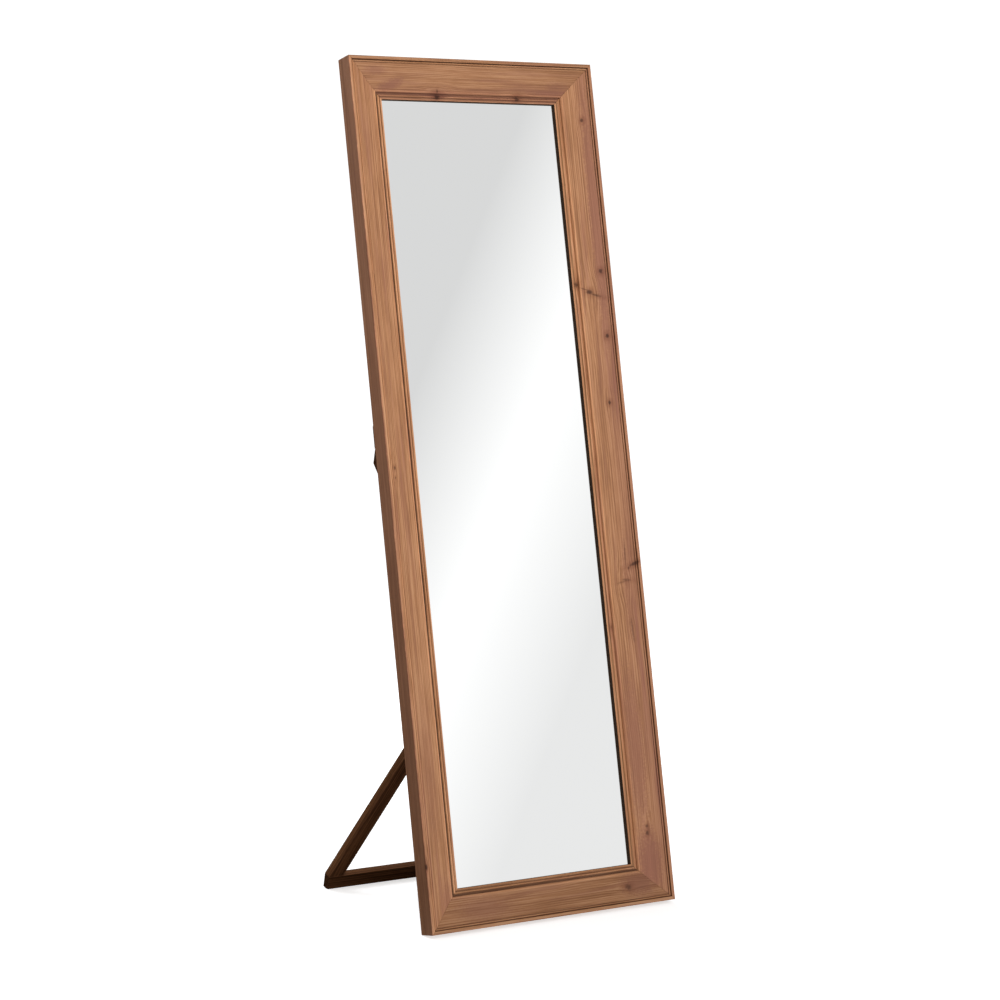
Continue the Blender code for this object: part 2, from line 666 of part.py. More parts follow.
def brace_screw(name, side, up, surface, this_bar, this_brace):
    """A screw through a bar into the end of a brace, its head sunk in a counterbore."""
    lean_in = brace_run.x / brace_run.z * (BRACE_SCREW[1] - BAR_HEIGHT + BRACE_SCREW_SINK) / 2
    x = side * (STAND_WIDTH / 2 - BRACE_FOOTPRINT / 2 - lean_in)
    middle = (STAND_FRONT + STAND_BACK) / 2
    mouth = Vector((x, middle, surface))
    head = mouth + Vector((0, 0, up * BRACE_SCREW_SINK))
    brace_screws.drive(name, STAND_AXIS, head, (0, 0, up), this_bar, this_brace)
    flip = Matrix.Identity(4) if up < 0 else Matrix.Rotation(math.pi, 4, "X")
    overshoot = Vector((0, 0, -up * FIT_GAP))
    matrix = Matrix.Translation(mouth + overshoot) @ flip
    cut(this_bar, cutter(name + "_counterbore", counterbore_mesh, STAND_AXIS, matrix))


brace_screw("brace_screw_foot_left", -1, 1, FOOT_BOTTOM, foot_bar, brace_front)
brace_screw("brace_screw_foot_right", 1, 1, FOOT_BOTTOM, foot_bar, brace_rear)
brace_screw("brace_screw_top_left", -1, -1, BAR_TOP, top_bar, brace_rear)
brace_screw("brace_screw_top_right", 1, -1, BAR_TOP, top_bar, brace_front)


# ---------------------------------------------------------------- hinges
leaf_screws = ScrewKind("leaf_screw", LEAF_SCREW)
knuckle_pitch = HINGE_LENGTH / KNUCKLES
knuckle_length = knuckle_pitch - FIT_GAP


def knuckle_centres(first):
    """The middles of every other knuckle along the hinge, from the first one given."""
    return [(number - (KNUCKLES - 1) / 2) * knuckle_pitch for number in range(first, KNUCKLES, 2)]


def along_x(x):
    """The frame of a cylinder that lies along X and starts at x."""
    return Matrix.Translation((x, 0, 0)) @ Matrix.Rotation(math.pi / 2, 4, "Y")


def hinge_leaf(name, own, other, face, material, parent, matrix):
    """A leaf below the pins' axis whose outer side is at Y = face, with its own knuckles."""
    inner = face - math.copysign(LEAF_THICKNESS, face)
    low_y = min(face, inner)
    plate = box_mesh(
        name,
        (HINGE_LENGTH - FIT_GAP, LEAF_THICKNESS, LEAF_HEIGHT),
        (0, low_y + LEAF_THICKNESS / 2, -LEAF_HEIGHT / 2),
    )
    leaf = piece(name, plate, material, parent, matrix)
    clear_height = KNUCKLE_RADIUS + LEAF_RELIEF
    for number, x in enumerate(other):
        notch_size = (knuckle_pitch + FIT_GAP, 4 * LEAF_THICKNESS, 2 * clear_height)
        notch = box_mesh("notch", notch_size, (x, low_y + LEAF_THICKNESS / 2, 0))
        cut(leaf, cutter(f"{name}_notch_{number}", notch, parent, matrix))
    for number, x in enumerate(own):
        barrel_mesh = cylinder_mesh("knuckle", KNUCKLE_RADIUS, knuckle_length, ROUND_SIDES)
        barrel = cutter(
            f"{name}_knuckle_{number}", barrel_mesh, parent, matrix @ along_x(x + knuckle_length / 2)
        )
        join(leaf, barrel)
    bore_mesh = cylinder_mesh("bore", PIN_RADIUS + PIN_CLEARANCE, 2 * HINGE_LENGTH, ROUND_SIDES)
    cut(leaf, cutter(name + "_bore", bore_mesh, parent, matrix @ along_x(HINGE_LENGTH)))
    return leaf


leaf_face = PIN_OFFSET - FIT_GAP
leaf_screw_drop = (LEAF_HEIGHT + KNUCKLE_RADIUS + LEAF_RELIEF) / 2
leaf_screw_spread = HINGE_LENGTH / 4
leaf_surface = leaf_face - LEAF_THICKNESS
pin_length = HINGE_LENGTH + 2 * PIN_HEAD
pin_mesh = cylinder_mesh("hinge_pin", PIN_RADIUS, pin_length, ROUND_SIDES)
pins_on_mirror = Matrix.Translation((0, PIN_OFFSET, HINGE_HEIGHT))

for side, stile, side_name in ((-1, left_stile, "left"), (1, right_stile, "right")):
    on_frame = pins_on_mirror @ Matrix.Translation((side * HINGE_X, 0, 0))
    on_stand = Matrix.Translation((side * HINGE_X, 0, 0))
    frame_leaf = hinge_leaf(
        f"hinge_frame_leaf_{side_name}",
        knuckle_centres(0), knuckle_centres(1), -leaf_face, HINGE_BRASS, MIRROR_LEAN, on_frame,
    )
    stand_leaf = hinge_leaf(
        f"hinge_stand_leaf_{side_name}",
        knuckle_centres(1), knuckle_centres(0), leaf_face, HINGE_BRASS, STAND_AXIS, on_stand,
    )
    pin = piece(
        f"hinge_pin_{side_name}", pin_mesh, ZINC, MIRROR_LEAN, on_frame @ along_x(pin_length / 2)
    )
    smooth(pin)
    for step, step_name in ((-1, "a"), (1, "b")):
        x = side * HINGE_X + step * leaf_screw_spread
        on_leaf = Vector((x, PIN_OFFSET - leaf_surface, HINGE_HEIGHT - leaf_screw_drop))
        name = f"frame_leaf_screw_{side_name}_{step_name}"
        leaf_screws.drive(name, MIRROR_LEAN, on_leaf, (0, -1, 0), frame_leaf, stile)
        on_leaf = Vector((x, leaf_surface, -leaf_screw_drop))
        name = f"stand_leaf_screw_{side_name}_{step_name}"
        leaf_screws.drive(name, STAND_AXIS, on_leaf, (0, 1, 0), stand_leaf, top_bar)
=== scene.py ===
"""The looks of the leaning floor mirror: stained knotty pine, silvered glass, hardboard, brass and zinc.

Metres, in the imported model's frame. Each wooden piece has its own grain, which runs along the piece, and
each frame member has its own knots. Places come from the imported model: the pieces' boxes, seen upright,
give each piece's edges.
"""

import math
from collections import namedtuple

import bpy
from mathutils import Matrix, Vector

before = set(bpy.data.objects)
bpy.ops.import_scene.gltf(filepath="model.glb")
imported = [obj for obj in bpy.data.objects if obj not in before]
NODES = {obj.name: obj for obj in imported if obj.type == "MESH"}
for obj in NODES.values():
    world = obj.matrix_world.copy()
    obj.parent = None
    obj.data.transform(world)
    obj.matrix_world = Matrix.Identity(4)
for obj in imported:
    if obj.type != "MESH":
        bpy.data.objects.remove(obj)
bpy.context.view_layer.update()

# ---------------------------------------------------------------- camera
SENSOR_WIDTH = 36.0                # millimetres
FOCAL_LENGTH = 95.6772             # millimetres
CLIP_END = 200.0
CAMERA_PLACE = (-2.661, -4.484, 1.2903)
CAMERA_YAW = math.radians(30.81)   # from +Y towards +X
CAMERA_PITCH = math.radians(-5.433)


def make_camera():
    data = bpy.data.cameras.new("camera")
    data.sensor_width = SENSOR_WIDTH
    data.lens = FOCAL_LENGTH
    data.clip_end = CLIP_END
    camera = bpy.data.objects.new("camera", data)
    bpy.context.scene.collection.objects.link(camera)
    camera.location = CAMERA_PLACE
    camera.rotation_euler = (math.pi / 2 + CAMERA_PITCH, 0.0, -CAMERA_YAW)
    bpy.context.scene.camera = camera


# ---------------------------------------------------------------- places on the object
def largest_face_normal(node):
    """The direction that a flat piece's largest face looks in."""
    faces = NODES[node].data.polygons
    return max(faces, key=lambda face: face.area).normal.copy()


def lean_of(node):
    """How far a flat piece's top leans towards +Y, in radians."""
    normal = largest_face_normal(node)
    if normal.y > 0:
        normal = -normal
    return math.atan2(normal.z, -normal.y)


MIRROR_TURN = Matrix.Rotation(-lean_of("mirror_glass"), 3, "X")
STAND_TURN = Matrix.Rotation(-lean_of("stand_top_bar"), 3, "X")


def upright_box(node, turn):
    """A piece's lowest and highest corner once the mirror or the stand is turned upright."""
    back = turn.transposed()
    corners = [back @ vertex.co for vertex in NODES[node].data.vertices]
    low = Vector([min(corner[axis] for corner in corners) for axis in range(3)])
    high = Vector([max(corner[axis] for corner in corners) for axis in range(3)])
    return low, high


# ---------------------------------------------------------------- node helper
class Graph:
    """A material's or the world's node tree, with short ways to add and join nodes."""

    def __init__(self, tree):
        self.tree = tree

    def add(self, kind, **settings):
        node = self.tree.nodes.new(kind)
        for name, value in settings.items():
            setattr(node, name, value)
        return node

    def feed(self, socket, value):
        """Link a socket to another node's output, or set it to a constant."""
        if isinstance(value, bpy.types.NodeSocket):
            self.tree.links.new(value, socket)
        else:
            socket.default_value = value

    def place(self):
        """The point that is shaded, in its object's own space."""
        return self.add("ShaderNodeTexCoord").outputs["Object"]

    def math(self, operation, *values, clamp=False):
        node = self.add("ShaderNodeMath", operation=operation, use_clamp=clamp)
        for socket, value in zip(node.inputs, values):
            self.feed(socket, value)
        return node.outputs[0]

    def centred(self, source, swing):
        """A pattern from 0 to 1, turned into one about zero that is the swing wide."""
        return self.math("MULTIPLY", self.math("SUBTRACT", source, 0.5), swing)

    def vector(self, operation, *values):
        node = self.add("ShaderNodeVectorMath", operation=operation)
        for socket, value in zip(node.inputs, values):
            self.feed(socket, value)
        return node.outputs["Value" if operation in ("DOT_PRODUCT", "LENGTH") else "Vector"]

    def combine(self, x, y, z):
        node = self.add("ShaderNodeCombineXYZ")
        for socket, value in zip(node.inputs, (x, y, z)):
            self.feed(socket, value)
        return node.outputs[0]

    def range(self, value, low, high, to_low=0.0, to_high=1.0, smooth=False):
        """The value as it goes from low to high, mapped to to_low and to_high, and held there beyond."""
        kind = "SMOOTHSTEP" if smooth else "LINEAR"
        node = self.add("ShaderNodeMapRange", interpolation_type=kind, clamp=True)
        for name, item in zip(
            ("Value", "From Min", "From Max", "To Min", "To Max"), (value, low, high, to_low, to_high)
        ):
            self.feed(node.inputs[name], item)
        return node.outputs[0]

    def noise(self, vector, scale=1.0, detail=3.0, roughness=0.5):
        node = self.add("ShaderNodeTexNoise")
        self.feed(node.inputs["Vector"], vector)
        for name, item in (("Scale", scale), ("Detail", detail), ("Roughness", roughness)):
            self.feed(node.inputs[name], item)
        return node.outputs["Fac"]

    def ramp(self, value, stops):
        """A colour ramp: each stop is its place and its colour."""
        node = self.add("ShaderNodeValToRGB")
        elements = node.color_ramp.elements
        while len(elements) < len(stops):
            elements.new(0.5)
        for element, (place, colour) in zip(elements, stops):
            element.position = place
            element.color = (*colour, 1.0)
        self.feed(node.inputs[0], value)
        return node.outputs[0]

    def mix(self, share, first, second, blend="MIX"):
        """The first colour, with a share of the second mixed in or, by MULTIPLY, tinted by it."""
        node = self.add("ShaderNodeMix", data_type="RGBA", blend_type=blend)
        node.clamp_factor = True
        self.feed(node.inputs[0], share)
        for socket, value in ((node.inputs[6], first), (node.inputs[7], second)):
            self.feed(socket, (*value, 1.0) if isinstance(value, tuple) else value)
        return node.outputs[2]

    def bump(self, height, strength, distance):
        node = self.add("ShaderNodeBump")
        self.feed(node.inputs["Strength"], strength)
        self.feed(node.inputs["Distance"], distance)
        self.feed(node.inputs["Height"], height)
        return node.outputs[0]


def new_material(name):
    """An empty material, its graph and its shader."""
    material = bpy.data.materials.new(name)
    material.use_nodes = True
    graph = Graph(material.node_tree)
    shader = material.node_tree.nodes["Principled BSDF"]
    return material, graph, shader


def dress(node, material):
    """Give a CAD piece one material."""
    mesh = NODES[node].data
    mesh.materials.clear()
    mesh.materials.append(material)


# ---------------------------------------------------------------- wood
KNOT_HALO = 0.5                    # how strong a knot's halo is beside the knot
KNOT_DEPTH = 0.080                 # how deep a knot goes, unless it is a shallow one

# A knot or a patch of stain: its middle across and along the board, its half width and half length, its
# tilt in degrees, its strength, the strength of its halo as a share of that, and its depth.
Spot = namedtuple(
    "Spot", "across along half_width half_length tilt strength halo depth", defaults=(KNOT_HALO, KNOT_DEPTH)
)

# A noise in the wood: its features per metre across the grain, how much longer they are along it, what it
# adds to the board's seed, its detail and its roughness.
Figure = namedtuple("Figure", "scale stretch seed detail roughness")
KNOT_EDGE = Figure(240.0, 1.0, 0.0, 2.0, 0.5)
DRIFT = Figure(5.0, 3.0, 3.1, 2.0, 0.5)
RIPPLE = Figure(34.0, 9.0, 5.3, 2.0, 0.5)
FIBRE = Figure(1900.0, 60.0, 0.0, 2.0, 0.6)
STREAK = Figure(330.0, 90.0, 9.0, 3.0, 0.6)
BAND = Figure(90.0, 30.0, 13.0, 2.0, 0.5)
BLOTCH = Figure(30.0, 3.5, 17.0, 4.0, 0.6)
PURPLE = Figure(75.0, 16.0, 23.0, 3.0, 0.5)
NICKS = Figure(210.0, 3.0, 29.0, 3.0, 0.5)
SEED_SHIFT = (1.0, 0.37, 1.71)     # how far a seed moves a noise across, into and along the board

# knots
EDGE_WOBBLE = 0.9                  # how uneven a knot's outline is, as a share of its radius
KNOT_FADE = (1.30, 0.40)           # radii where a knot begins and where it is full
HALO_FADE = (3.4, 0.9)
PATCH_FADE = (1.3, 0.3)
HALO_TINT = (0.48, 0.32, 0.28)
KNOT_COLOURS = ((0.026, 0.009, 0.006), (0.078, 0.030, 0.018))
KNOT_SINK = 0.3                    # how far a knot lowers the bump
BEND_SIZES = (0.002, 0.004)        # a knot bends the grain as if its half width lay between these
BEND_FADE = (0.6, 5.0)             # half widths where the bend is full and where it has ended
BEND_SHARE = 0.72                  # how far the grain's lines are spread apart close beside a knot
BEND_ALONG = 0.30                  # distances along the grain count this much, so a bend is a long one

# growth rings
DEFAULT_HEART = (-0.05, 0.07)      # how far the rings' middle is across the board and out in front of it
DRIFT_SWING = 0.050
RIPPLE_SWING = 0.006
RING_PITCH = 0.0038
# how much latewood there is through a ring, from its start to its end
RING_LEVELS = ((0.0, 0.05), (0.45, 0.25), (0.86, 1.0), (0.97, 0.7), (1.0, 0.05))
RING_STOPS = [(part, (level,) * 3) for part, level in RING_LEVELS]

# colour and surface
TONE_WEIGHTS = (1.55, 0.55, 0.80, 0.60, -0.30)     # of the streaks, bands, fibres, blotches and latewood
TONE_PLACES = (0.20, 0.5, 0.80)    # where the tone is dark, middling and light
PURPLE_FADE = (0.48, 0.76)         # the levels of the noise where purple streaks begin and are full
PURPLE_SHARE = 0.60
MAUVE_SHARE = 0.55                 # how much purple a board turns towards one of its edges
MAUVE_BASE = 0.4                   # added to the streaks there, so that it is purple between them too
PURPLE_SHADE = ((0.86,) * 3, (1.14,) * 3)          # how the tone darkens and lightens the purple
BUMP_WEIGHTS = (0.5, 0.5, 0.2)     # of the fibres, streaks and latewood
BUMP_STRENGTH = 0.30
BUMP_DEPTH = 0.0003
GRAIN_RANGE = (0.4, 1.0)           # open grain, from shiny to matt
BLOTCH_IN_GRAIN = 0.4

# stains and paints: dark, middle, light and purplish
FRAME_TONES = (
    (0.300, 0.132, 0.059), (0.450, 0.206, 0.095), (0.582, 0.298, 0.154), (0.330, 0.137, 0.084)
)
# the stand's tones: a darker stain, with painted shade on top for the deep shade that it stands in behind
# the mirror
STAND_SHADED_TONES = (
    (0.042, 0.0160, 0.0060), (0.078, 0.0305, 0.0118), (0.125, 0.053, 0.022), (0.062, 0.0245, 0.012)
)
BEECH_TONES = (
    (0.42, 0.28, 0.16), (0.62, 0.45, 0.28), (0.74, 0.58, 0.40), (0.60, 0.42, 0.27)
)
FRAME_ROUGHNESS = (0.46, 0.62)
STAND_ROUGHNESS = (0.66, 0.80)
FRAME_GLOSS = 0.22
STAND_GLOSS = 0.05

# the moulding, by the distance in from its outer edge
FRONT_DEPTH = 0.030                # the moulding lies in front of this depth
FRONT_FADE = 0.001
OUTER_LIP = 0.0065
# painted highlight on the outer lip: how strong it is, where it is full, where it stops and its tint
LIP_HIGHLIGHT = 0.6
LIP_FULL = 0.7                     # the painted highlight is full inside this share of the lip
LIP_EDGE = (0.0003, 0.0008)        # no painted highlight at the very edge
LIP_HIGHLIGHT_TINT = (1.02, 1.04, 1.09)
CREST_HIGHLIGHTS = (                         # painted highlights on the raised lines: middle, half width and strength
    (0.0060, 0.0012, 0.35),
    (0.0096, 0.0012, 0.40),
    (0.0620, 0.0024, 0.60),
    (0.0700, 0.0018, 0.75),
    (0.0770, 0.0014, 0.70),
)
CREST_CORE = 0.2                   # a line is full inside this share of its half width
# how much the painted highlights lighten the raised lines
CREST_HIGHLIGHT_TINT = (1.5, 1.5, 1.5)
QUIRKS = ((0.0074, 0.0012), (0.0119, 0.0011), (0.0660, 0.0026), (0.0733, 0.0010))     # groove lines, the same way, where shade is painted
QUIRK_CORE = 0.5
# the painted shade in the grooves: how dark it makes them
QUIRK_SHADE = (0.10, 0.065, 0.05)
NICK_REACH = (0.0026, 0.0010)      # from the outer corner, where nicks begin and are full
NICK_FADE = (0.50, 0.64)
NICK_SHARE = 0.75
NICK_TINT = (1.45, 1.42, 1.42)
WALL_INSET = 0.0778                # where the moulding drops to the glass, and how deep that is
WALL_DEPTH = 0.0276
WALL_DEPTH_FADE = 0.0004
WALL_INSET_FADE = (0.0012, 0.0006)                 # before the drop
# painted shade on the drop to the glass, nearly black
WALL_SHADE = (0.060, 0.036, 0.022)

# painted light on the long edges and narrow sides of the stand's boards
ARRIS_FADE = (0.0012, 0.0003)
ARRIS_LIGHT_TINT = (1.8, 1.9, 2.0)


class Board:
    """Where a wooden piece lies: its origin and the directions across, down into and along its grain."""

    def __init__(self, origin, across, depth, along):
        self.origin = Vector(origin)
        self.directions = [Vector(line) for line in (across, depth, along)]

    def sockets(self, graph):
        """The distances across, into and along the board, in metres, as sockets."""
        offset = graph.vector("SUBTRACT", graph.place(), tuple(self.origin))
        return [graph.vector("DOT_PRODUCT", offset, tuple(line)) for line in self.directions]


def grain_noise(graph, place, figure, seed):
    """A noise that is stretched along the grain. place is the distances across, into and along it."""
    scales = (figure.scale, figure.scale, figure.scale / figure.stretch)
    moved = [
        graph.math("MULTIPLY_ADD", distance, scale, (seed + figure.seed) * shift)
        for distance, scale, shift in zip(place, scales, SEED_SHIFT)
    ]
    return graph.noise(graph.combine(*moved), detail=figure.detail, roughness=figure.roughness)


def spot_distance(graph, place, spot, wobble):
    """How far a point is from a knot's or a patch's middle, as a share of its own radius that way."""
    across, depth, along = place
    side = graph.math("SUBTRACT", across, spot.across)
    run = graph.math("SUBTRACT", along, spot.along)
    cos = math.cos(math.radians(spot.tilt))
    sin = math.sin(math.radians(spot.tilt))
    short = graph.math("ADD", graph.math("MULTIPLY", side, cos), graph.math("MULTIPLY", run, sin))
    long = graph.math("SUBTRACT", graph.math("MULTIPLY", run, cos), graph.math("MULTIPLY", side, sin))
    oval = graph.combine(
        graph.math("DIVIDE", short, spot.half_width),
        graph.math("DIVIDE", long, spot.half_length),
        graph.math("DIVIDE", depth, spot.depth),
    )
    return graph.math("ADD", graph.vector("LENGTH", oval), wobble)


def bent_across(graph, place, knots):
    """The distance across the board, as the grain has it where it bends round the knots."""
    across, _, along = place
    bent = across
    smallest, largest = BEND_SIZES
    for knot in knots:
        size = min(max(knot.half_width, smallest), largest)
        side = graph.math("SUBTRACT", across, knot.across)
        run = graph.math("MULTIPLY", graph.math("SUBTRACT", along, knot.along), BEND_ALONG)
        away = graph.vector("LENGTH", graph.combine(side, run, 0.0))
        full, ended = (size * share for share in BEND_FADE)
        pull = graph.range(away, full, ended, BEND_SHARE, 0.0, smooth=True)
        bent = graph.math("SUBTRACT", bent, graph.math("MULTIPLY", side, pull))
    return bent


def knot_shares(graph, place, knots, wobble):
    """How much of a point is knot, and how much is the halo round one."""
    mark = 0.0
    halo = 0.0
    for knot in knots:
        distance = spot_distance(graph, place, knot, wobble)
        core = graph.range(distance, *KNOT_FADE, smooth=True)
        ring = graph.range(distance, *HALO_FADE, smooth=True)
        mark = graph.math("MAXIMUM", mark, graph.math("MULTIPLY", core, knot.strength))
        halo = graph.math("MAXIMUM", halo, graph.math("MULTIPLY", ring, knot.halo * knot.strength))
    return mark, halo


def latewood_share(graph, grain, heart, seed):
    """How much latewood there is, in growth rings about the heart that drift along the board."""
    across, depth, _ = grain
    drift = graph.centred(grain_noise(graph, grain, DRIFT, seed), DRIFT_SWING)
    ripple = graph.centred(grain_noise(graph, grain, RIPPLE, seed), RIPPLE_SWING)
    from_heart = graph.combine(
        graph.math("SUBTRACT", across, heart[0]), graph.math("ADD", depth, heart[1]), 0.0
    )
    radius = graph.math("ADD", graph.vector("LENGTH", from_heart), graph.math("ADD", drift, ripple))
    return graph.ramp(graph.math("FRACT", graph.math("DIVIDE", radius, RING_PITCH)), RING_STOPS)


def purple_share(graph, place, grain, wobble, seed, mauve, patches):
    """How much of the stain has turned purplish: in streaks, towards one edge and in patches."""
    streaks = grain_noise(graph, grain, PURPLE, seed)
    share = graph.range(streaks, *PURPLE_FADE, 0.0, PURPLE_SHARE, smooth=True)
    if mauve is not None:
        near = graph.range(place[0], *mauve, 0.0, MAUVE_SHARE, smooth=True)
        streaky = graph.math("MULTIPLY", near, graph.math("ADD", streaks, MAUVE_BASE))
        share = graph.math("ADD", share, streaky, clamp=True)
    for patch in patches:
        distance = spot_distance(graph, place, patch, wobble)
        inside = graph.range(distance, *PATCH_FADE, 0.0, patch.strength, smooth=True)
        share = graph.math("MAXIMUM", share, inside)
    return share


def line_share(graph, across, middle, half_width, core, strength):
    """How strong a line along the board is. It is full inside the core, a share of its half width."""
    away = graph.math("ABSOLUTE", graph.math("SUBTRACT", across, middle))
    return graph.range(away, half_width, half_width * core, 0.0, strength, smooth=True)


def moulded(graph, place, colour, grooves, seed):
    """The colour with painted highlights on the moulding's lip and raised lines, wear nicks near its outer
    corner, and painted shade in each groove.
    """
    across, depth, _ = place
    front = graph.range(depth, FRONT_DEPTH + FRONT_FADE, FRONT_DEPTH)
    # painted highlight on the outer lip
    lip_highlight_share = graph.math("MULTIPLY", graph.range(across, OUTER_LIP, OUTER_LIP * LIP_FULL, 0.0, LIP_HIGHLIGHT), front)
    lip_highlight_share = graph.math("MULTIPLY", lip_highlight_share, graph.range(across, *LIP_EDGE))
    colour = graph.mix(lip_highlight_share, colour, LIP_HIGHLIGHT_TINT, "MULTIPLY")
    # painted highlights along the raised lines
    for middle, half_width, strength in CREST_HIGHLIGHTS:
        line = line_share(graph, across, middle, half_width, CREST_CORE, strength)
        colour = graph.mix(graph.math("MULTIPLY", line, front), colour, CREST_HIGHLIGHT_TINT, "MULTIPLY")

    from_corner = graph.math("MAXIMUM", graph.math("ABSOLUTE", across), graph.math("ABSOLUTE", depth))
    near_corner = graph.range(from_corner, *NICK_REACH, smooth=True)
    nicks = graph.range(grain_noise(graph, place, NICKS, seed), *NICK_FADE, 0.0, NICK_SHARE)
    colour = graph.mix(graph.math("MULTIPLY", near_corner, nicks), colour, NICK_TINT, "MULTIPLY")

    # painted shade in each groove, as dark as the member's groove shades
    for (middle, half_width), strength in zip(QUIRKS, grooves):
        line = line_share(graph, across, middle, half_width, QUIRK_CORE, strength)
        colour = graph.mix(graph.math("MULTIPLY", line, front), colour, QUIRK_SHADE, "MULTIPLY")
    return colour


def wall_shade_share(graph, place):
    """How much of a point is on the drop from the moulding to the glass, where shade is painted."""
    across, depth, _ = place
    deep = graph.range(depth, WALL_DEPTH, WALL_DEPTH + WALL_DEPTH_FADE)
    inward = graph.range(across, *(WALL_INSET - fade for fade in WALL_INSET_FADE))
    return graph.math("MULTIPLY", deep, inward)


def lit_arris_share(graph, across, width):
    """How much of a point is on a long edge or narrow side of a board that is this wide, where light is
    painted.
    """
    from_middle = graph.math("ABSOLUTE", graph.math("SUBTRACT", across, width / 2))
    return graph.range(from_middle, *(width / 2 - fade for fade in ARRIS_FADE))


def pine(
    name, board, tones, seed, heart=DEFAULT_HEART, knots=(), patches=(), mauve=None, grooves=None,
    lit_edges_width=None, gloss=FRAME_GLOSS, roughness=FRAME_ROUGHNESS,
):
    """Stained pine on a board, with its knots and its purplish patches, and light and shade painted on its
    moulding or its long edges.

    heart is where the middle of the rings is. mauve is the distances across where the wood begins to turn
    purplish and where it is most so. The groove shades say how dark the painted shade in each of the
    moulding's quirks is, and a board without them has no moulding. The lit edges' width is the width of a
    board whose long edges and narrow sides get painted light.
    """
    material, graph, shader = new_material(name)
    place = board.sockets(graph)
    across, depth, along = place
    wobble = graph.centred(grain_noise(graph, place, KNOT_EDGE, seed), EDGE_WOBBLE)
    grain = (bent_across(graph, place, knots), depth, along)

    fibre = grain_noise(graph, grain, FIBRE, seed)
    streak = grain_noise(graph, grain, STREAK, seed)
    band = grain_noise(graph, grain, BAND, seed)
    blotch = grain_noise(graph, place, BLOTCH, seed)
    latewood = latewood_share(graph, grain, heart, seed)
    tone = 0.0
    for source, weight in zip((streak, band, fibre, blotch, latewood), TONE_WEIGHTS):
        tone = graph.math("ADD", tone, graph.centred(source, weight))
    tone = graph.math("ADD", tone, 0.5, clamp=True)
    colour = graph.ramp(tone, list(zip(TONE_PLACES, tones)))
    purple = graph.mix(1.0, tones[3], graph.mix(tone, *PURPLE_SHADE), "MULTIPLY")
    share = purple_share(graph, place, grain, wobble, seed, mauve, patches)
    colour = graph.mix(share, colour, purple)

    height = 0.0
    for source, weight in zip((fibre, streak, latewood), BUMP_WEIGHTS):
        height = graph.math("ADD", height, graph.math("MULTIPLY", source, weight))
    open_grain = graph.math("ADD", fibre, graph.math("MULTIPLY", blotch, BLOTCH_IN_GRAIN))
    matt = graph.range(open_grain, *GRAIN_RANGE, *roughness)

    if grooves is not None:
        colour = moulded(graph, place, colour, grooves, seed)
    # painted light on the long edges and narrow sides
    if lit_edges_width is not None:
        colour = graph.mix(lit_arris_share(graph, across, lit_edges_width), colour, ARRIS_LIGHT_TINT, "MULTIPLY")
    if knots:
        mark, halo = knot_shares(graph, place, knots, wobble)
        colour = graph.mix(halo, colour, HALO_TINT, "MULTIPLY")
        colour = graph.mix(mark, colour, graph.mix(fibre, *KNOT_COLOURS))
        height = graph.math("SUBTRACT", height, graph.math("MULTIPLY", mark, KNOT_SINK))
    if grooves is not None:
        # painted shade on the drop to the glass
        wall_shade = wall_shade_share(graph, place)
        colour = graph.mix(wall_shade, colour, WALL_SHADE)
        matt = graph.math("MAXIMUM", matt, wall_shade)

    graph.feed(shader.inputs["Base Color"], colour)
    graph.feed(shader.inputs["Roughness"], matt)
    graph.feed(shader.inputs["Normal"], graph.bump(height, BUMP_STRENGTH, BUMP_DEPTH))
    shader.inputs["Specular IOR Level"].default_value = gloss
    return material


# ---------------------------------------------------------------- the frame's and the stand's wood
SIDE_TOLERANCE = 0.1               # how far from square to the depth a side face may look, as a cosine

# A frame member: its directions across and along, then its wood. shade scales the tones: painted shade that
# darkens the rails, where less light falls on them, and the groove shades say how dark the painted shade in
# each of the QUIRKS is.
Member = namedtuple("Member", "across along seed heart mauve shade grooves")
MEMBERS = {
    "frame_left_stile": Member(
        (1, 0, 0), (0, 0, 1), 2.3, (-0.06, 0.07), None, 1.0, (0.20, 0.15, 1.0, 0.10)
    ),
    "frame_right_stile": Member(
        (-1, 0, 0), (0, 0, 1), 7.9, (-0.03, 0.05), (0.050, 0.014), 1.0, (0.80, 0.70, 0.0, 0.75)
    ),
    "frame_top_rail": Member(
        (0, 0, -1), (1, 0, 0), 12.4, (-0.08, 0.06), (0.046, 0.064), 0.79, (0.85, 0.45, 0.30, 0.45)
    ),
    "frame_bottom_rail": Member(
        (0, 0, 1), (1, 0, 0), 19.6, (-0.05, 0.09), None, 0.78, (0.55, 0.50, 0.65, 0.45)
    ),
}
SPLINE_SEED = 80.0
STAND_SEEDS = {
    "stand_top_bar": 31.0,
    "stand_foot_bar": 35.7,
    "stop_batten": 40.4,
    "stand_brace_left_foot": 52.0,
    "stand_brace_right_foot": 58.1,
}


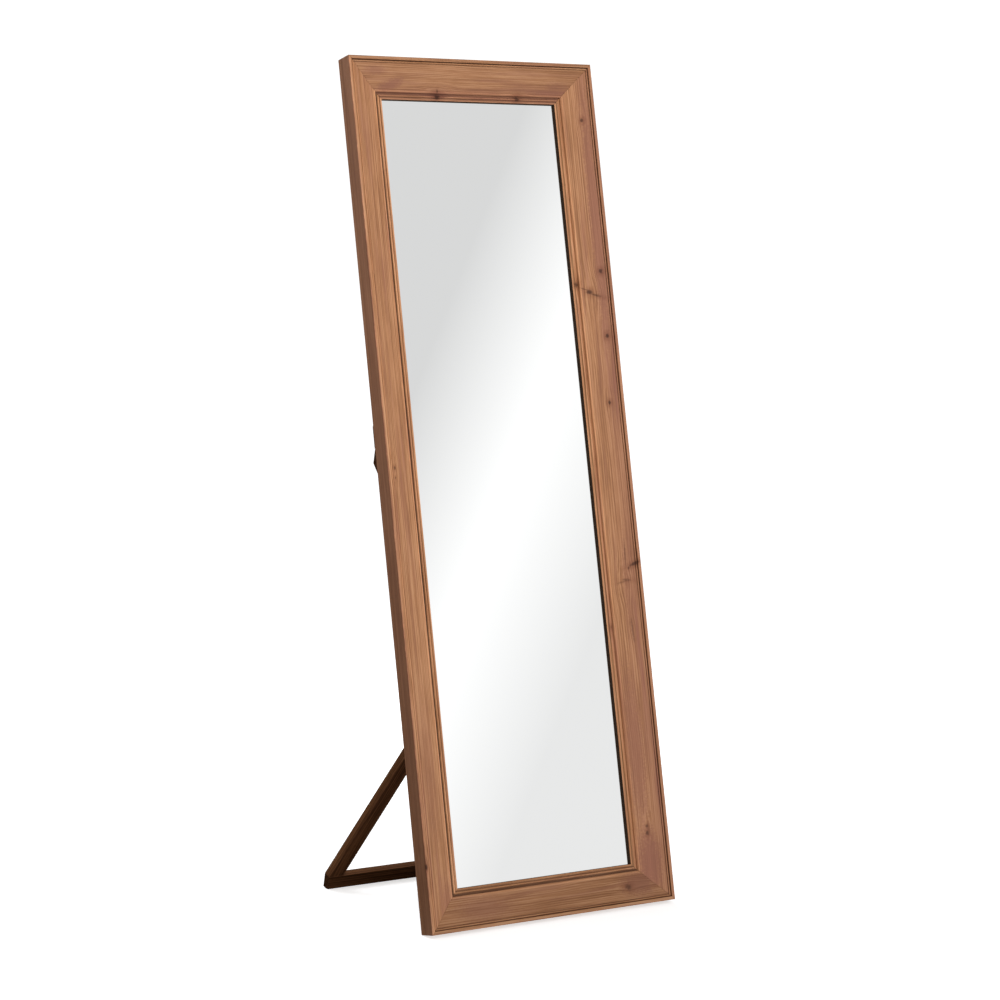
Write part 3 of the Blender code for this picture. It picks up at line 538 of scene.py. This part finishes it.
def frame_knots(half):
    """The knots of each frame member. half is half of the frame's width."""
    return {
        "frame_left_stile": (
            Spot(0.0173, 0.882, 0.0030, 0.0036, 0, 0.60),
            Spot(0.0171, 0.863, 0.0018, 0.0022, 0, 0.55),
            Spot(0.0012, 0.127, 0.0022, 0.0070, 0, 0.90, 0.3, 0.0035),
        ),
        "frame_right_stile": (
            Spot(0.0276, 1.567, 0.0032, 0.0045, 0, 0.70),
            Spot(0.0208, 1.258, 0.0036, 0.0050, 0, 0.80),
            Spot(0.0690, 1.235, 0.0045, 0.0060, 0, 0.85),
            Spot(0.0458, 1.218, 0.0070, 0.0048, 22, 0.80),
            Spot(0.0350, 1.211, 0.0110, 0.0026, 22, 0.60),
            Spot(0.0560, 1.225, 0.0100, 0.0014, 22, 0.45, 0.3),
            Spot(0.0207, 1.127, 0.0032, 0.0052, 0, 0.85),
            Spot(0.0290, 0.993, 0.0028, 0.0042, 0, 0.80),
            Spot(0.0684, 0.546, 0.0024, 0.0040, 0, 0.60),
            Spot(0.0310, 0.6365, 0.0100, 0.0030, 8, 0.38),
            Spot(0.0400, 0.6330, 0.0080, 0.0022, -12, 0.34),
            Spot(0.0249, 0.660, 0.0022, 0.0032, 0, 0.62),
            Spot(0.0130, 0.668, 0.0110, 0.0034, -24, 0.75),
            Spot(0.0290, 0.690, 0.0014, 0.0280, 2, 0.42),
            Spot(0.0290, 0.536, 0.0020, 0.0260, -2, 0.40),
            Spot(0.0398, 0.135, 0.0035, 0.0050, 0, 0.60),
            Spot(0.0394, 0.149, 0.0028, 0.0034, 0, 0.55),
        ),
        "frame_top_rail": (
            Spot(0.0705, half - 0.0743, 0.0060, 0.0075, 0, 0.90),
            Spot(0.0600, half - 0.0743, 0.0040, 0.0024, 0, 0.55),
            Spot(0.0696, half + 0.1087, 0.0055, 0.0060, 0, 0.80),
        ),
        "frame_bottom_rail": (
            Spot(0.0357, half + 0.177, 0.0062, 0.0070, 0, 0.50),
            Spot(0.0340, half + 0.177, 0.0022, 0.0026, 0, 0.60),
        ),
    }


def frame_patches(half):
    """The purplish patches of each frame member. half is half of the frame's width."""
    return {
        "frame_left_stile": (
            Spot(0.030, 0.30, 0.020, 0.160, 0, 0.35),
            Spot(0.050, 0.05, 0.020, 0.060, 0, 0.60),
            Spot(0.000, 0.85, 0.0022, 2.0, 0, 0.55),
        ),
        "frame_right_stile": (
            # besides their purplish tone, these two strong patches darken the stile's lower end as painted
            # shade, where the light falls off
            Spot(0.046, 0.30, 0.022, 0.200, 0, 0.80),
            Spot(0.040, 0.08, 0.030, 0.090, 0, 1.0),
            Spot(0.028, 0.62, 0.012, 0.140, 0, 0.55),
            Spot(0.020, 1.35, 0.014, 0.400, 0, 0.90),
        ),
        "frame_top_rail": (
            Spot(0.052, half - 0.180, 0.013, 0.040, 20, 0.85),
            Spot(0.026, half - 0.215, 0.010, 0.030, 0, 0.60),
            Spot(0.050, half + 0.200, 0.016, 0.040, 0, 0.60),
        ),
        "frame_bottom_rail": (
            Spot(0.040, half + 0.205, 0.026, 0.050, 0, 0.80),
            Spot(0.036, half - 0.150, 0.026, 0.070, 0, 0.55),
        ),
    }


def frame_board(node, across, along):
    """The board of a frame member. Its depth is from the front, and across is in from the outer edge."""
    low, high = upright_box(node, MIRROR_TURN)
    corner = Vector(
        (
            low.x if across[0] >= 0 else high.x,
            low.y,
            low.z if across[2] >= 0 else high.z,
        )
    )
    axes = [MIRROR_TURN @ Vector(line) for line in (across, (0, 1, 0), along)]
    return Board(MIRROR_TURN @ corner, *axes)


def dress_frame():
    boards = {node: frame_board(node, member.across, member.along) for node, member in MEMBERS.items()}
    half = abs(boards["frame_left_stile"].origin.x)
    knots = frame_knots(half)
    patches = frame_patches(half)
    for node, member in MEMBERS.items():
        # painted shade: shade darkens the rails' tones, where less light falls on them
        tones = [tuple(part * member.shade for part in tone) for tone in FRAME_TONES]
        wood = pine(
            node + "_pine", boards[node], tones, member.seed, member.heart, knots[node], patches[node],
            member.mauve, member.grooves,
        )
        dress(node, wood)


def lying_board(node, across, along):
    """The board of a straight piece that leans with the mirror or the stand, and how wide it is."""
    corners = [vertex.co for vertex in NODES[node].data.vertices]
    depth = across.cross(along)
    if depth.y < 0:
        depth = -depth
    origin = Vector((0, 0, 0))
    for axis in (across, depth, along):
        origin += axis * min(corner.dot(axis) for corner in corners)
    reaches = [corner.dot(across) for corner in corners]
    return Board(origin, across, depth, along), max(reaches) - min(reaches)


def side_normal(node, depth):
    """The direction across a straight piece: the way that the largest face on its sides looks."""
    faces = NODES[node].data.polygons
    sides = [face for face in faces if abs(face.normal.dot(depth)) < SIDE_TOLERANCE]
    return max(sides, key=lambda face: face.area).normal.normalized()


def dress_stand():
    for node, seed in STAND_SEEDS.items():
        turn = MIRROR_TURN if node == "stop_batten" else STAND_TURN
        depth = turn @ Vector((0, 1, 0))
        across = side_normal(node, depth)
        board, width = lying_board(node, across, across.cross(depth).normalized())
        # the stand's tones carry painted shade, and its long edges get painted light
        wood = pine(
            node + "_pine", board, STAND_SHADED_TONES, seed, lit_edges_width=width, gloss=STAND_GLOSS,
            roughness=STAND_ROUGHNESS,
        )
        dress(node, wood)


def dress_splines():
    """Paler beech, because the splines across the mitres are cut from another wood."""
    for node in [name for name in NODES if name.startswith("corner_spline")]:
        board, _ = lying_board(node, MIRROR_TURN @ Vector((1, 0, 0)), MIRROR_TURN @ Vector((0, 0, 1)))
        dress(node, pine(node + "_beech", board, BEECH_TONES, SPLINE_SEED))


# ---------------------------------------------------------------- glass, board and metal
USUAL_LEVELS = (0.3, 0.7)          # most of a noise lies between these levels
SILVER = (0.955, 0.962, 0.960, 1.0)
HAZE_LEVELS = (0.3, 0.8)
SILVER_ROUGHNESS = (0.004, 0.016)
HARDBOARD_STOPS = [
    (0.30, (0.105, 0.058, 0.032)), (0.5, (0.20, 0.118, 0.066)), (0.72, (0.32, 0.205, 0.125)),
]
HARDBOARD_WEIGHTS = (0.65, 0.35)   # of the fibres and of the patches
HARDBOARD_ROUGHNESS = (0.74, 0.92)
Metal = namedtuple("Metal", "name colour tarnish roughness seed")     # roughness from bright to dull
BRASS = Metal("hinge_brass", (0.64, 0.45, 0.19), (0.38, 0.24, 0.10), (0.26, 0.44), 1.7)
ZINC = Metal("zinc_plate", (0.72, 0.72, 0.70), (0.52, 0.51, 0.48), (0.34, 0.52), 4.2)
TARNISH_LEVELS = (0.45, 0.72)      # where tarnish spots begin and are full
BRUSHING = (60.0, 2200.0, 2200.0)  # brush marks per metre, long along X


def mirror_silver():
    material, graph, shader = new_material("silvered_glass")
    haze = graph.noise(graph.place(), scale=3.0, detail=4.0)
    shader.inputs["Base Color"].default_value = SILVER
    shader.inputs["Metallic"].default_value = 1.0
    graph.feed(shader.inputs["Roughness"], graph.range(haze, *HAZE_LEVELS, *SILVER_ROUGHNESS))
    return material


def hardboard():
    material, graph, shader = new_material("hardboard")
    place = graph.place()
    fibres = graph.noise(place, scale=260.0, detail=4.0, roughness=0.7)
    patches = graph.noise(place, scale=9.0, detail=3.0)
    parts = [graph.math("MULTIPLY", *pair) for pair in zip((fibres, patches), HARDBOARD_WEIGHTS)]
    colour = graph.ramp(graph.math("ADD", *parts), HARDBOARD_STOPS)
    graph.feed(shader.inputs["Base Color"], colour)
    graph.feed(shader.inputs["Roughness"], graph.range(fibres, *USUAL_LEVELS, *HARDBOARD_ROUGHNESS))
    graph.feed(shader.inputs["Normal"], graph.bump(fibres, strength=0.5, distance=0.0005))
    return material


def brushed_metal(metal):
    material, graph, shader = new_material(metal.name)
    place = graph.vector("ADD", graph.place(), (metal.seed, metal.seed * 2.0, metal.seed * 3.0))
    spots = graph.noise(place, scale=420.0, detail=4.0, roughness=0.65)
    brushed = graph.noise(graph.vector("MULTIPLY", place, BRUSHING), detail=2.0)
    colour = graph.mix(graph.range(spots, *TARNISH_LEVELS), metal.colour, metal.tarnish)
    graph.feed(shader.inputs["Base Color"], colour)
    graph.feed(shader.inputs["Roughness"], graph.range(brushed, *USUAL_LEVELS, *metal.roughness))
    graph.feed(shader.inputs["Normal"], graph.bump(brushed, strength=0.15, distance=0.0001))
    shader.inputs["Metallic"].default_value = 1.0
    return material


def dress_rest():
    """The glass, its backing board, and the hinges, clips and screws."""
    dress("mirror_glass", mirror_silver())
    dress("backing_board", hardboard())
    brass = brushed_metal(BRASS)
    zinc = brushed_metal(ZINC)
    for node in NODES:
        if node.startswith(("hinge_frame_leaf", "hinge_stand_leaf")):
            dress(node, brass)
        elif "screw" in node or node.startswith(("hinge_pin", "retaining_clip")):
            dress(node, zinc)


# ---------------------------------------------------------------- studio
FLOOR_SIZE = 60.0
FLAG_PLACE = (0.0, 0.72, -0.01)
FLAG_SIZE = (1.6, 1.40, 1.0)
# soft lights all round: direction, strength
SOFT_LIGHTS = (
    ((0.0, -1.0, 0.0), 1.36),
    ((1.0, 0.0, 0.0), 0.46),
    ((0.1, -0.72, -0.68), 0.45),
    ((0.3, 0.9, 0.3), 0.60),
)
SOFT_POWER = 3.0
CARD = Vector((0.5126, -0.8268, 0.2317))       # the direction that the mirror reflects to the camera
CARD_SPREAD = (15.0, 32.0)                     # degrees: full inside the first, gone outside the second
STRIP_SLANT = 1.547
STRIP_EDGE = math.radians(2.75)
STRIP_PEAK = math.radians(0.4)
STRIP_LEVELS = (0.845, 1.06, 0.72)             # below the strip light, at its middle and above it
BACKDROP = 1.1                     # the plain white that the camera sees
FLOOR_COLOUR = (0.90, 0.90, 0.90, 1.0)
FLOOR_ROUGHNESS = 0.9
FLOOR_SHADOW_REACH = (0.3, 2.0)      # painted soft shadow: the floor glows less this near the mirror, and fully this far off
FLOOR_GLOW = (0.62, 0.95)
WHITE = (1.0, 1.0, 1.0, 1.0)
BLACK = (0.0, 0.0, 0.0, 1.0)
# soft lamps: name, place, what they point at, size and power in watts
LAMPS = (
    ("key", (-0.45, -1.75, 1.75), (0.0, 0.0, 1.3), 1.6, 19.5),
    ("left", (-1.7, 0.5, 1.4), (0.0, 0.0, 1.3), 1.6, 5.0),
    ("back", (-0.3, 2.4, 2.2), (0.0, 0.0, 0.8), 2.0, 60.0),
)


def make_floor():
    """A pale floor that glows, so that it is as white as the backdrop and keeps a faint shadow; near the
    mirror it glows less, a painted soft shadow.
    """
    bpy.ops.mesh.primitive_plane_add(size=FLOOR_SIZE)
    floor = bpy.context.object
    floor.name = "floor"
    material, graph, shader = new_material("pale_floor")
    shader.inputs["Base Color"].default_value = FLOOR_COLOUR
    shader.inputs["Roughness"].default_value = FLOOR_ROUGHNESS
    shader.inputs["Emission Color"].default_value = WHITE
    from_middle = graph.vector("LENGTH", graph.place())
    # painted soft shadow: the glow dips near the mirror
    glow_and_shadow = graph.range(from_middle, *FLOOR_SHADOW_REACH, *FLOOR_GLOW, smooth=True)
    graph.feed(shader.inputs["Emission Strength"], glow_and_shadow)
    floor.data.materials.append(material)
    floor.visible_diffuse = False
    floor.visible_glossy = False


def make_flag():
    """A black card under the floor behind the mirror, which keeps the low front light off the stand."""
    bpy.ops.mesh.primitive_plane_add(size=1.0, location=FLAG_PLACE)
    flag = bpy.context.object
    flag.name = "flag"
    flag.scale = FLAG_SIZE
    material, _, shader = new_material("black_card")
    shader.inputs["Base Color"].default_value = BLACK
    shader.inputs["Specular IOR Level"].default_value = 0.0
    flag.data.materials.append(material)
    flag.visible_camera = False


def strip_light(graph, direction):
    """How bright the slanting strip light that the mirror reflects is, and its share, by direction."""
    card = CARD.normalized()
    sideways = Vector((card.y, -card.x, 0)).normalized()
    up = sideways.cross(card)
    if up.z < 0:
        up = -up
    slant = (up + STRIP_SLANT * sideways).normalized()
    offset = graph.math("SUBTRACT", graph.vector("DOT_PRODUCT", direction, tuple(slant)), card.dot(slant))
    rising = graph.range(offset, -STRIP_EDGE, -STRIP_PEAK, STRIP_LEVELS[0], STRIP_LEVELS[1])
    level = graph.range(offset, STRIP_PEAK, STRIP_EDGE, rising, STRIP_LEVELS[2])
    near = graph.vector("DOT_PRODUCT", direction, tuple(card))
    inner, outer = (math.cos(math.radians(angle)) for angle in CARD_SPREAD)
    return level, graph.range(near, outer, inner, 0.0, 1.0, True)


def make_sky():
    """Soft light from all round, and the plain white backdrop that the camera sees."""
    world = bpy.data.worlds.new("studio")
    bpy.context.scene.world = world
    world.use_nodes = True
    graph = Graph(world.node_tree)
    background = world.node_tree.nodes["Background"]
    direction = graph.vector("NORMALIZE", graph.add("ShaderNodeTexCoord").outputs["Generated"])
    level = 0.0
    for towards, strength in SOFT_LIGHTS:
        facing = graph.vector("DOT_PRODUCT", direction, tuple(Vector(towards).normalized()))
        lobe = graph.math("POWER", graph.math("MAXIMUM", facing, 0.0), SOFT_POWER)
        level = graph.math("ADD", level, graph.math("MULTIPLY", lobe, strength))
    strip, share = strip_light(graph, direction)
    level = graph.math("ADD", level, graph.math("MULTIPLY", share, graph.math("SUBTRACT", strip, level)))
    seen = graph.add("ShaderNodeLightPath").outputs["Is Camera Ray"]
    level = graph.math("MAXIMUM", level, graph.math("MULTIPLY", seen, BACKDROP))
    graph.feed(background.inputs["Strength"], level)
    background.inputs["Color"].default_value = WHITE


def make_lamps():
    """Soft lamps that neither the camera nor a reflection shows."""
    for name, place, target, size, power in LAMPS:
        data = bpy.data.lights.new(name, "AREA")
        data.shape = "RECTANGLE"
        data.size = size
        data.size_y = size
        data.energy = power
        lamp = bpy.data.objects.new(name, data)
        bpy.context.scene.collection.objects.link(lamp)
        lamp.location = place
        lamp.rotation_euler = (Vector(target) - Vector(place)).to_track_quat("-Z", "Y").to_euler()
        lamp.visible_camera = False
        lamp.visible_glossy = False


make_camera()
dress_frame()
dress_stand()
dress_splines()
dress_rest()
make_floor()
make_flag()
make_sky()
make_lamps()
bpy.context.scene.view_settings.view_transform = "Standard"
